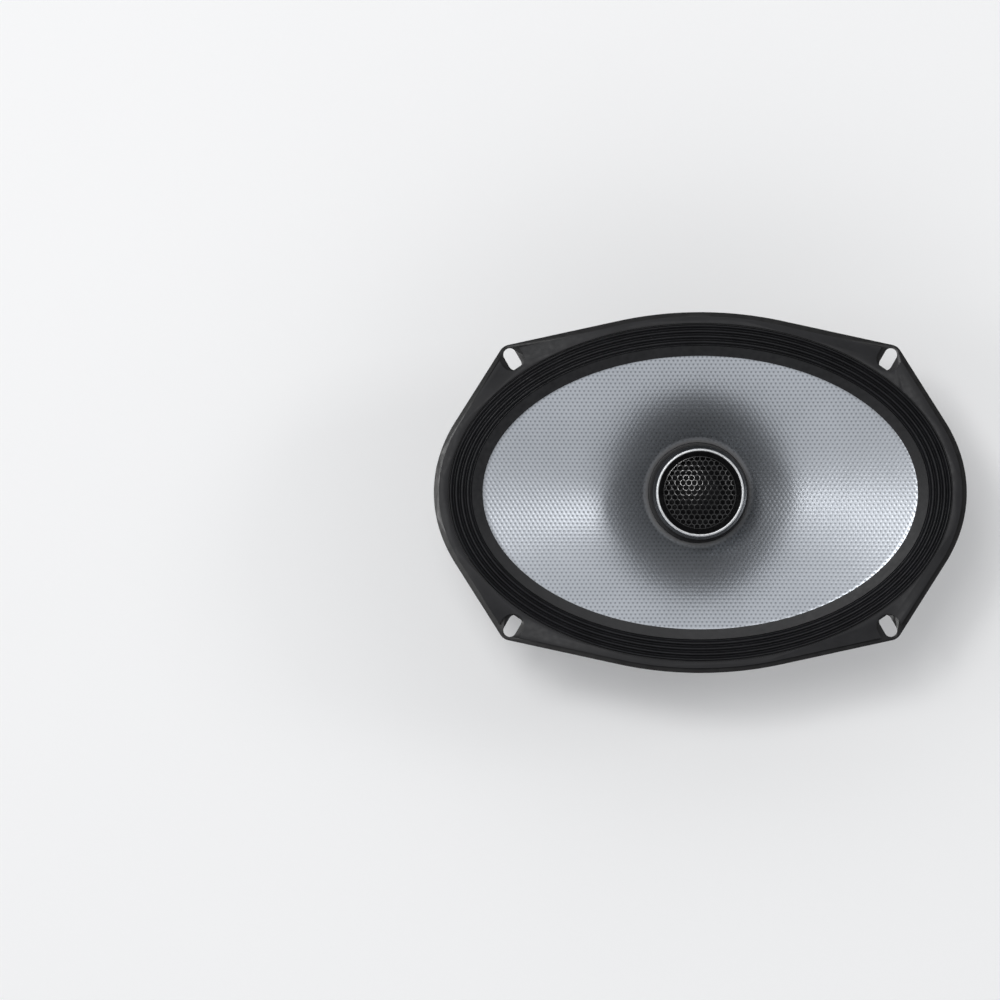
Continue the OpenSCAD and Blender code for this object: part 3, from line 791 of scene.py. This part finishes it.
def gasket():
    """Raised rubber gasket on the flange, with a pocket round each slot."""
    edge, rim_w, rim_t, pocket_r = 2.2, 3.2, 0.9, 5.3
    band = prism("gasket_band", flange_outline(edge), face_z + 0.05, span("gasket_ring")[1].z)
    below, above = face_z - 6, face_z + 14
    # the surround's rim lies in a seat under the mouth's edge
    seat = oval(gasket_a + rim_w, gasket_b + rim_w)
    cutters = [
        prism("mouth", oval(gasket_a, gasket_b), below, above),
        prism("seat", seat, below, face_z + rim_t),
    ]
    # each pocket runs outwards past the flange's edge
    reach = 40
    middle = reach / 2 - pocket_r
    pocket = stadium(reach, 2 * pocket_r, slot_angle, slot_at[0] + middle * cos(slot_angle),
                     slot_at[1] + middle * sin(slot_angle))
    cutters += [prism("pocket", outline, below, above) for outline in at_corners(pocket)]
    cut(band, *cutters)
    round_edges(band, 0.45, 3)
    fixed(band, "gasket_rubber", "gasket_ring")


# ---- Cone, surround and suspension ----

def cone():
    """Oval horn with a flat lip under the surround."""
    steps = np.linspace(0, 1, 44)

    def ring(t, drop):
        z = between(cone_neck_z, cone_edge_z, t ** cone_flare) - drop
        return oval(between(cone_neck_r, cone_a, t), between(cone_neck_r, cone_b, t), z)

    rings = [ring(t, cone_t) for t in steps]
    rings += [oval(cone_a + cone_lip, cone_b + cone_lip, cone_edge_z - d) for d in (cone_t, 0)]
    rings += [ring(t, 0) for t in steps[::-1]]
    piece = skin("cone_woven", rings, loop=True, sharp=50)
    fixed(piece, "woven_cone", "cone", body="cone_body")


rolls = 4
roll_h = 0.8
flat_share = 0.32                       # the inner share of the width that carries no roll
surround_low = cone_edge_z + 0.15
surround_land = face_z + 0.02
land_w = 3


def surround_height(u):
    """Height of the rubber's underside, with u from the cone's edge, 0, to the flange, 1."""
    wave = np.sin(tau * rolls * (u - flat_share) / (1 - flat_share))
    crest = np.sign(wave) * np.abs(wave) ** 0.85
    return between(surround_low, surround_land, u) - np.where(u < flat_share, 0, roll_h * crest)


def surround_axes(u):
    """Half length and half width of the oval at u."""
    return between(cone_a, gasket_a - 0.5, u), between(cone_b, gasket_b - 0.5, u)


def surround_place(points):
    """Where each point lies between the cone's edge, 0, and the flange, 1."""
    low, high = np.zeros(len(points)), np.ones(len(points))
    for _ in range(24):     # halvings
        u = (low + high) / 2
        a, b = surround_axes(u)
        outside = (points[:, 0] / a) ** 2 + (points[:, 1] / b) ** 2 > 1
        low, high = np.where(outside, u, low), np.where(outside, high, u)
    return (low + high) / 2


def surround():
    """Rubber edge: a flat inner part, four rolls and a land under the gasket."""
    rubber_t = 0.8
    glued = 0.1             # the share of the width, at the cone, whose weight is a full 1
    steps = np.concatenate([np.linspace(0, flat_share, 7)[:-1], np.linspace(flat_share, 1, 57)])
    heights = surround_height(steps)
    axes = [surround_axes(u) for u in steps]
    rings = [oval(a, b, z) for (a, b), z in zip(axes, heights)]
    rings += [oval(gasket_a + land_w, gasket_b + land_w, surround_land + d) for d in (0, rubber_t)]
    rings += [oval(a, b, z + rubber_t) for (a, b), z in list(zip(axes, heights))[::-1]]
    piece = skin("surround_rolls", rings, loop=True, sharp=60)
    flexible(piece, "surround_rubber", "surround",
             lambda p: smoothstep((1 - surround_place(p)) / (1 - glued)))


def neck_ring():
    """Rubber ring where the cone meets the coil former."""
    profile = [(18.85, 41.4), (20.1, 41.6), (22.4, 44.1), (22.6, 44.6), (22.2, 45), (18.85, 44.8)]
    fixed(turned("neck_ring", profile, 0.5), "neck_rubber", "cone_neck_ring", body="cone_body")


def coil(name, inner, outer, low, high, turns, slot, node, body):
    """A winding: a plain inside, and one small round for each turn outside."""
    wire = (high - low) / turns
    profile = [(inner, high), (inner, low)]
    for k in range(turns):
        for t in np.linspace(0, 1, 5)[:-1]:
            profile.append((outer - wire / 2 * (1 - sin(pi * t)), low + (k + t) * wire))
    fixed(lathe(name, profile, 128), slot, node, body=body)


def spider():
    """Corrugated cloth disc from the basket's ledge to the coil former."""
    inner, ledge_r, foot_r, waves, wave_h = 19.1, 45, 48.7, 6, 0.9
    mid_z, foot_z, cloth_t = 38.8, 38.25, 0.6
    start, end = inner + 2.5, ledge_r - 0.5
    r = np.linspace(start, end, 16 * waves)
    z = mid_z + wave_h * np.sin(tau * waves * (r - start) / (end - start))
    top = foot_z + cloth_t
    profile = [(inner, mid_z), *zip(r, z), (ledge_r + 0.5, foot_z), (foot_r, foot_z), (foot_r, top),
               (ledge_r, top), *zip(r[::-1], z[::-1] + cloth_t), (inner, mid_z + cloth_t)]
    piece = lathe("spider_rolls", profile, FINE, 60)
    flexible(piece, "spider_cloth", "spider",
             lambda p: smoothstep((end - np.hypot(p[:, 0], p[:, 1])) / (ledge_r - start)))


def glue_bead():
    """Uneven line of glue along the joint of the basket and the top plate."""
    n, line_r, bead_r, leg_room = 220, 41.95, 0.55, 5.2
    rings = []
    for k in range(n):
        angle = tau * k / n
        size = 0.75 + 0.35 * sin(19 * angle) + 0.2 * sin(47 * angle + 1)
        r = bead_r * max(size, 0.4)
        ring = []
        for t in np.linspace(0, tau, 10, endpoint=False):
            out = line_r + r * cos(t)
            z = seat_z + 0.05 + 0.75 * r * max(sin(t), 0)
            ring.append((out * cos(angle), out * sin(angle), z))
        rings.append(ring)
    piece = skin("glue_line", rings, loop=True, sharp=80)
    cut(piece, prism("gap", box_outline(-60, -leg_room, 60, leg_room), seat_z - 5, seat_z + 5))
    fixed(piece, "glue", "basket_glue_bead")


# ---- Motor ----

back_t, magnet_top = 5, 20      # thickness of the back plate, and top of the ferrite ring
pole_r, pole_top = 17.6, 26
nut_room_r, bore_r = 8.4, 4.05
groove_w = 4.4                  # groove in the back plate for the tweeter's leads


def motor():
    """Top plate, ferrite ring, and back plate with its pole in one piece."""
    top = turned("top_plate_disc", box_outline(20.6, magnet_top, 47.5, seat_z), 0.5)
    fixed(top, "zinc_plate", "top_plate")
    ring = turned("ferrite_ring", box_outline(25.1, back_t, 48, magnet_top), 1.1)
    fixed(ring, "ferrite", "ferrite_magnet")
    yoke = turned("yoke", [(0, 0), (44.5, 0), (44.5, back_t), (pole_r, back_t),
                           (pole_r, pole_top), (0, pole_top)], 0.6)
    recess = prism("recess", circle(nut_room_r, 96), -1, 5.5)
    bore = prism("bore", circle(bore_r, 64), -1, 30)
    slot = box_outline(0, -groove_w / 2, 60, groove_w / 2)
    groove = prism("groove", slot, -1, groove_w / 2, turn(201.8, "Z"))
    cut(yoke, recess, bore, groove)
    round_edges(yoke, 0.25)
    fixed(yoke, "zinc_plate", "yoke_and_pole")


def post():
    """Hollow post through the pole, with a thread where the nut grips it."""
    post_r, hollow_r, root_r, pitch = 4, 1.9, 3.7, 0.5
    low, shoulder_r, shoulder_top, high = 2.3, 7, 50.4, 54.5
    profile = [(hollow_r, low)]
    for k in range(10):
        z = low + k * pitch
        profile += [(root_r, z), (post_r, z + 0.2), (post_r, z + 0.32), (root_r, z + pitch)]
    profile += [
        (post_r, low + 4.9), (post_r, pole_top), (shoulder_r, pole_top), (shoulder_r, shoulder_top),
        (post_r, shoulder_top), (post_r, high), (hollow_r, high)]
    fixed(lathe("post", profile), "black_plastic", "tweeter_post")
    # a hexagon whose corners are rounded off by a turned body
    nut = prism("nut", circle(7.4, 6), 2.4, 5.5)
    cap = turned("nut_round", [(0, 1), (5.6, 1), (8.4, 3.4), (8.4, 4.5), (5.6, 7), (0, 7)], 0.1)
    combine(nut, [cap], "INTERSECT")
    cut(nut, prism("thread", circle(bore_r, 64), 0, 9))
    round_edges(nut, 0.15)
    fixed(nut, "tinned_brass", "post_nut")


# ---- Tweeter ----

def tweeter_shell():
    """Cup, funnel round the mesh, and silver trim."""
    housing = turned("tweeter_cup", [
        (4.05, housing_z), (17, housing_z), (18.2, housing_z + 0.9), (19.4, 56.8), (20.5, seam_z),
        (17.4, seam_z), (17.4, housing_z + 2), (4.05, housing_z + 2)], 0.35)
    fixed(housing, "black_plastic", "tweeter_housing")
    low = seam_z + 0.05
    bezel = lathe("tweeter_funnel", soften([
        (17.4, low), (20.5, low), (20.9, low + 1), (20.9, low + 3.4), (19.8, tweeter_z - 0.75),
        (18.5, tweeter_z - 0.4), (17.2, grille_z + 1.6), (16.4, grille_z + 0.7),
        (16.4, grille_z - 0.1), (15.6, grille_z - 0.1), (15.6, grille_z - 0.9),
        (17.4, grille_z - 2.2)], 0.5, 5), FINE)
    fixed(bezel, "gloss_black", "tweeter_bezel")
    trim = lathe("trim_ring", soften([
        (18.4, tweeter_z - 0.45), (19.6, tweeter_z - 0.85), (19.55, tweeter_z - 0.3),
        (19.2, tweeter_z), (18.6, tweeter_z)], 0.35, 5), FINE)
    fixed(trim, "silver_trim", "tweeter_trim_ring")


def grille():
    """Domed mesh of round holes on a hexagonal grid, inside a plain rim."""
    pitch, hole_r, sides = 2.5, 1.08, 18
    edge, rise, sheet_t = 16.25, 3.3, 0.42
    cell = []
    for k in range(sides):
        angle = tau * k / sides
        sector = (angle + pi / 6) % (pi / 3) - pi / 6
        cell.append((angle, pitch / 2 / cos(sector)))
    hex_share = 0.55        # how far a hole's outline leans from a circle to the cell's hexagon
    points, faces = [], []
    reach = int(edge / pitch) + 2
    for i in range(-reach, reach + 1):
        for j in range(-reach, reach + 1):
            x, y = pitch * (i + j / 2), pitch * j * sqrt(3) / 2
            if np.hypot(x, y) > edge + 0.2:
                continue
            base = len(points)
            for layer in (0, 1):
                for angle, r in cell:
                    points.append((x + r * cos(angle), y + r * sin(angle), layer))
                for angle, r in cell:
                    hole = between(hole_r, hole_r * r / (pitch / 2), hex_share)
                    points.append((x + hole * cos(angle), y + hole * sin(angle), 0.1 + 0.8 * layer))
            for k in range(sides):
                m = (k + 1) % sides
                out0, out1, in0, in1 = k, m, sides + k, sides + m
                up = 2 * sides
                faces.append((base + out0, base + out1, base + in1, base + in0))
                faces.append((base + up + out0, base + up + in0, base + up + in1, base + up + out1))
                faces.append((base + in0, base + in1, base + up + in1, base + up + in0))
    # what lies past the rim is pulled in, and the flat sheet is domed
    points = np.array(points, float)
    r = np.hypot(points[:, 0], points[:, 1])
    pull = np.where(r > edge, edge / np.maximum(r, 1e-6), 1)
    points[:, :2] *= pull[:, None]
    sphere = (edge ** 2 + rise ** 2) / (2 * rise)
    r = np.minimum(r, edge)
    crown = grille_z + rise - sphere + np.sqrt(sphere ** 2 - r ** 2)
    points[:, 2] = crown + sheet_t * points[:, 2]
    mesh = mesh_piece("grille_holes", points, faces, 50)
    rim = turned("grille_rim", [(15.85, grille_z), (16.3, grille_z), (16.3, grille_z + 0.55),
                                (15.85, grille_z + 0.7)], 0.15)
    fixed(join(mesh, rim), "grille_mesh", "tweeter_grille")


def tweeter_inside():
    """Silk dome, its half roll and its coil, and the motor's CAD pieces with their finishes."""
    dome_r, dome_z, dome_h, dome_t = 12.5, 65, 4.6, 0.3
    sphere = (dome_r ** 2 + dome_h ** 2) / (2 * dome_h)
    reach = np.linspace(0, dome_r, 28)
    outer = [(r, dome_z + dome_h - sphere + sqrt(sphere ** 2 - r * r)) for r in reach]
    inner = [(r * 0.985, z - dome_t) for r, z in outer[::-1]]
    inner[0] = (dome_r - 0.25, dome_z)
    outer[-1:] = [(dome_r, dome_z + 0.35), (dome_r + 0.7, dome_z + 0.4), (dome_r + 0.7, dome_z)]
    fixed(lathe("silk_dome", outer + inner, FINE, 60), "dome_silk", "tweeter_dome", body="dome_body")
    low = dome_z + 0.05
    roll_in, roll_out, roll_rise, edge_r = 12.8, 14.4, 0.65, 15.6
    roll = [(between(roll_in, roll_out, t), low + roll_rise * sin(pi * t))
            for t in np.linspace(0, 1, 9)]
    edge = [(edge_r, low), (edge_r, low + dome_t)]
    back = [(r, z + dome_t) for r, z in roll[::-1]]
    piece = lathe("dome_surround", roll + edge + back, FINE, 60)
    flexible(piece, "dome_silk", "tweeter_surround",
             lambda p: smoothstep((roll_out - np.hypot(p[:, 0], p[:, 1])) / (roll_out - roll_in)))
    coil("dome_coil", 12.51, 12.95, 59.8, 63.2, 17, "copper_wire", "tweeter_coil_winding", "dome_body")
    for node, slot in {
        "tweeter_face_ring": "black_plastic", "tweeter_coil_former": "former_foil",
        "tweeter_pole_plate": "zinc_plate", "tweeter_magnet": "neodymium",
        "tweeter_yoke": "zinc_plate", "voice_coil_former": "former_foil",
    }.items():
        keep(node, slot)


# ---- Terminals and crossover ----

def solder(x, y, z):
    """A bead of solder that joins a lead's end to its tab."""
    profile = [(0.95 * cos(t) * (1 + 0.06 * sin(5 * t)), 1.05 * sin(t))
               for t in np.linspace(pi / 2, -pi / 2, 17)]
    bead = lathe("solder", profile, 32, 80)
    bead.data.transform(move(x, y, z))
    return bead


# Node, width, chamfer of the tip, and where its lead is soldered on
TABS = {
    "wide_tab": ("positive_blade", 6.3, 1.2, (-65.1, 6.6, 27)),
    "narrow_tab": ("negative_blade", 2.8, 0.6, (-60, -8.4, 27.5)),
}


def terminals():
    """Fibre board, two push-on tabs with their feet, and the rivets that hold them."""
    tab_t, foot_half, foot_t = 0.8, 2.4, 0.8
    low, high = span("terminal_board")
    board = prism("board", soften(box_outline(low.x, low.y, high.x, high.y), 0.8), low.z, high.z)
    round_edges(board, 0.25)
    fixed(board, "black_plastic", "terminal_board")
    rivets = []
    top = span("terminal_rivets")[1].z
    for name, (node, width, tip, joint) in TABS.items():
        low, high = span(node)
        x, y = (low.x + high.x) / 2, (low.y + high.y) / 2
        half = width / 2
        outline = [(-half, high.z), (-half, low.z + tip), (-half + tip, low.z),
                   (half - tip, low.z), (half, low.z + tip), (half, high.z)]
        stand = move(x, y, 0) @ turn(90, "Z") @ turn(90, "X")
        tab = prism(name, outline, -tab_t / 2, tab_t / 2, stand)
        hole = prism("hole", circle(0.8, 24, 0, low.z + 2.4), -2, 2, stand)
        square = box_outline(x - foot_half, y - foot_half, x + foot_half, y + foot_half)
        foot = prism("foot", soften(square, 0.8), high.z - foot_t, high.z)
        cut(tab, hole)
        weld(tab, foot)
        round_edges(tab, 0.14)
        fixed(join(tab, solder(*joint)), "tinned_brass", node)
        shank_low = low.z + 7
        head = [(0, top), (0.8, top - 0.04), (1.3, top - 0.25), (1.5, top - 0.7), (1, top - 0.7),
                (1, shank_low), (0, shank_low)]
        rivet = lathe(f"rivet_{node}", head, 48)
        rivet.data.transform(move(x, y, 0))
        rivets.append(rivet)
    fixed(join(*rivets), "tinned_brass", "terminal_rivets")


capacitor_r = 9.25
capacitor_l = 24
capacitor_at = turn(216.9, "Z")     # turns the capacitor's place from +X to its side
capacitor_stand = capacitor_at @ move(58.6, 0, 20.5)
tie_at = 6                          # place of the tie along the capacitor


def on_capacitor(obj, along=0.0):
    """Lays a piece that was turned about Z along the capacitor's axis."""
    obj.data.transform(capacitor_stand @ move(0, along, 0) @ turn(-90, "X"))
    return shade(obj, 50)


def pull_mouth(sleeve, half):
    """Gathers the sleeve's folded lips into small uneven pleats."""
    smooth_r, fade_w, lip_depth = 8.2, 2.2, 1.8
    for vertex in sleeve.data.vertices:
        x, y, z = vertex.co / MM
        r, angle = np.hypot(x, y), np.arctan2(y, x)
        on_lip = abs(z) > half - lip_depth
        share = float(smoothstep((smooth_r - r) / fade_w)) * on_lip
        pleats = 0.075 * sin(5 * angle + 0.6) + 0.05 * sin(9 * angle + 2) + 0.03 * sin(14 * angle)
        pull = 1 + share * pleats
        sink = np.sign(z) * share * 0.2 * sin(7 * angle)
        vertex.co = Vector((x * pull, y * pull, z - sink)) * MM


def capacitor():
    """Film winding with crinkled ends, in a shrunk sleeve."""
    half, wall = capacitor_l / 2, 1.1
    # the shrunk sleeve is slightly uneven along its length
    profile = []
    for t in np.linspace(-1, 1, 40):
        waist = 0.12 * sin(9 * t) * (1 - t * t)
        profile.append((capacitor_r - 0.16 + waist * 0.5, half * 0.93 * t))
    # the lip folds inwards over the winding's end and leaves a round mouth
    lip = [(capacitor_r, half * 0.965), (capacitor_r - 0.35, half - 0.15), (capacitor_r - 1, half),
           (6.9, half - 0.25), (6.2, half - 0.6), (5.95, half - 1.1), (6.3, half - 1.5),
           (capacitor_r - wall, half - 1.7)]
    profile = profile + lip + [(r, -z) for r, z in lip[::-1]]
    sleeve = lathe("shrink_tube", profile, FINE, 60)
    pull_mouth(sleeve, half)
    fixed(on_capacitor(sleeve), "shrink_sleeve", "capacitor_sleeve")

    # wound film: each sealed end is a spiral with random crinkles
    r_out, end = 8.1, half - 2
    n, steps, waves = 120, 26, 12
    layer_t, layer_h, crinkle_h = 1.25, 0.22, 0.6
    angle = np.linspace(0, tau, n, endpoint=False)
    wobble = rng.uniform(-1, 1, (2, steps, waves))
    discs = []
    for face, side in zip(wobble, (-1, 1)):
        disc = []
        for k, row in enumerate(face):
            r = r_out * (k + 0.35) / (steps - 0.65)
            bumps = sum(row[m] * np.cos((2 * m + 3) * angle + 5 * row[m - 1])
                        for m in range(waves)) / waves
            spiral = layer_h * np.sin(tau * r / layer_t + angle)
            z = end - 0.25 - 0.5 * (1 - r / r_out) + spiral + crinkle_h * bumps
            disc.append(np.stack([r * np.cos(angle), r * np.sin(angle), side * z], 1))
        discs.append(disc)
    winding = skin("wound_film", discs[0] + discs[1][::-1], sharp=70)
    stub_r, stub_end = 0.45, half - 0.2
    lead = lathe("lead_stub", [(0, 6), (stub_r, 6), (stub_r, stub_end - 0.2), (0.3, stub_end),
                               (0, stub_end)], 20)
    fixed(on_capacitor(join(winding, lead)), "wound_foil", "capacitor_winding")


def cable_tie():
    """Ribbed band round the capacitor, with its head and the cut-off tail."""
    inner, band_t, half_w = capacitor_r + 0.05, 0.9, 1.7
    outer = inner + band_t
    band = turned("tie_band", box_outline(inner, -half_w, outer, half_w), 0.3)
    rib_n, rib_half = 150, half_w - 0.6
    rib = box_outline(outer - 0.05, -0.1, outer + 0.14, 0.1)
    join(band, *[prism("rib", rib, -rib_half, rib_half, turn(360 * k / rib_n, "Z"))
                 for k in range(rib_n)])
    head = prism("head", soften(box_outline(outer - 0.15, -2, outer + 3.25, 2), 0.6), -2.4, 2.4)
    round_edges(head, 0.35)
    tail = prism("tail", box_outline(inner + 1.3, -3.4, inner + 2.3, 3), -1.2, 1.2)
    round_edges(tail, 0.2)
    for part in (head, tail):
        part.data.transform(turn(-135, "Z"))
    piece = join(band, head, tail)
    piece.data.transform(turn(180, "X"))
    on_capacitor(piece, tie_at)
    fixed(piece, "black_plastic", "cable_tie")


def clip():
    """Small saddle on the top plate that the tie's head is hooked to."""
    outline = soften(box_outline(43.3, 2, 49.3, 10), 1.2, 4)
    arm = prism("clip", outline, seat_z + 0.05, seat_z + 1.45, capacitor_at)
    room = turned("room", box_outline(0, -30, capacitor_r + 1, 30), 0.1)
    on_capacitor(room, tie_at)
    cut(arm, room)
    round_edges(arm, 0.3)
    fixed(arm, "black_plastic", "capacitor_clip")


# The leads' routes and the tinsel lead's, listed point by point
ROUTES = {
    "capacitor_lead": [
        [-60, -8.9, 27.5], [-60.2, -11, 28.8], [-60.6, -14, 28.6], [-60.5, -17.5, 25.8],
        [-59.2, -20.4, 22.4], [-57.2, -22.8, 20.7], [-55.8, -24.6, 20.5]],
    "tweeter_lead_positive": [
        [-57.2, -22.4, 16.5], [-58.5, -20.5, 15.5], [-57.5, -19.8, 10], [-55, -20, 5],
        [-51.8, -21, 1.8], [-47.5, -19.9, 1.1], [-34, -14.5, 1.1], [-20, -8.9, 1.1],
        [-8, -4.1, 1.1], [-3.6, -1.8, 1.1], [-1.3, -0.7, 1.6], [-0.9, -0.2, 3.4], [-0.8, 0, 9],
        [-0.8, 0, 36], [-0.8, 0, 53.5]],
    "tweeter_lead_negative": [
        [-64.8, 6.6, 27], [-63.4, 5.4, 24.5], [-60, -1, 17], [-56.5, -9, 9],
        [-53.5, -16.2, 3.6], [-49.5, -18.2, 1.3], [-46, -17.5, 1.1], [-34, -12.7, 1.1],
        [-20, -7.1, 1.1], [-8, -2.3, 1.1], [-3.4, 0.1, 1.1], [-0.6, 1.2, 1.3], [0.7, 0.8, 2.5],
        [0.9, 0.2, 4.5], [0.8, 0, 9], [0.8, 0, 36], [0.8, 0, 53.5]],
}
TINSEL = [
    [-60, 8.2, 35.8], [-59, 8, 39], [-56, 7.8, 43.5], [-50, 7.4, 46.4],
    [-42, 7, 45.4], [-36, 6.6, 44], [-33, 6.4, 44.3], [-31.4, 6.3, 45.2],
]


def wires():
    """Insulated leads, tinsel leads and the eyelets on the cone."""
    jacket_r, braid_r = 0.65, 0.6
    for node, points in ROUTES.items():
        fixed(tube(f"{node}_wire", smooth_route(points, 8), jacket_r), "wire_jacket", node)
    first, last = TINSEL[0][0], TINSEL[-1][0]
    for node, side in (("tinsel_lead_positive", 1), ("tinsel_lead_negative", -1)):
        points = [[x, side * y, z] for x, y, z in TINSEL]
        piece = tube(f"{node}_braid", smooth_route(points, 14), braid_r, 10, strands=3, pitch=3.2)
        flexible(piece, "tinsel_braid", node,
                 lambda p: smoothstep((p[:, 0] - first) / (last - first)))
    blobs = []
    for side in (-1, 1):
        profile = [(0, 0.1), (0.7, 0), (1.15, -0.3), (1.3, -0.75), (1.25, -1), (0, -1)]
        blob = lathe("eyelet", profile, 48)
        blob.data.transform(move(-29.6, side * 6.3, 45.9) @ turn(30, "Y"))
        blobs.append(blob)
    fixed(join(*blobs), "tinned_brass", "lead_eyelets", body="cone_body")


studio()
basket()
gasket()
cone()
surround()
neck_ring()
coil("voice_coil", 18.81, 19.8, 15.5, 29.5, 40, "copper_wire", "voice_coil_winding", "cone_body")
spider()
glue_bead()
motor()
post()
tweeter_shell()
grille()
tweeter_inside()
terminals()
capacitor()
cable_tie()
clip()
wires()
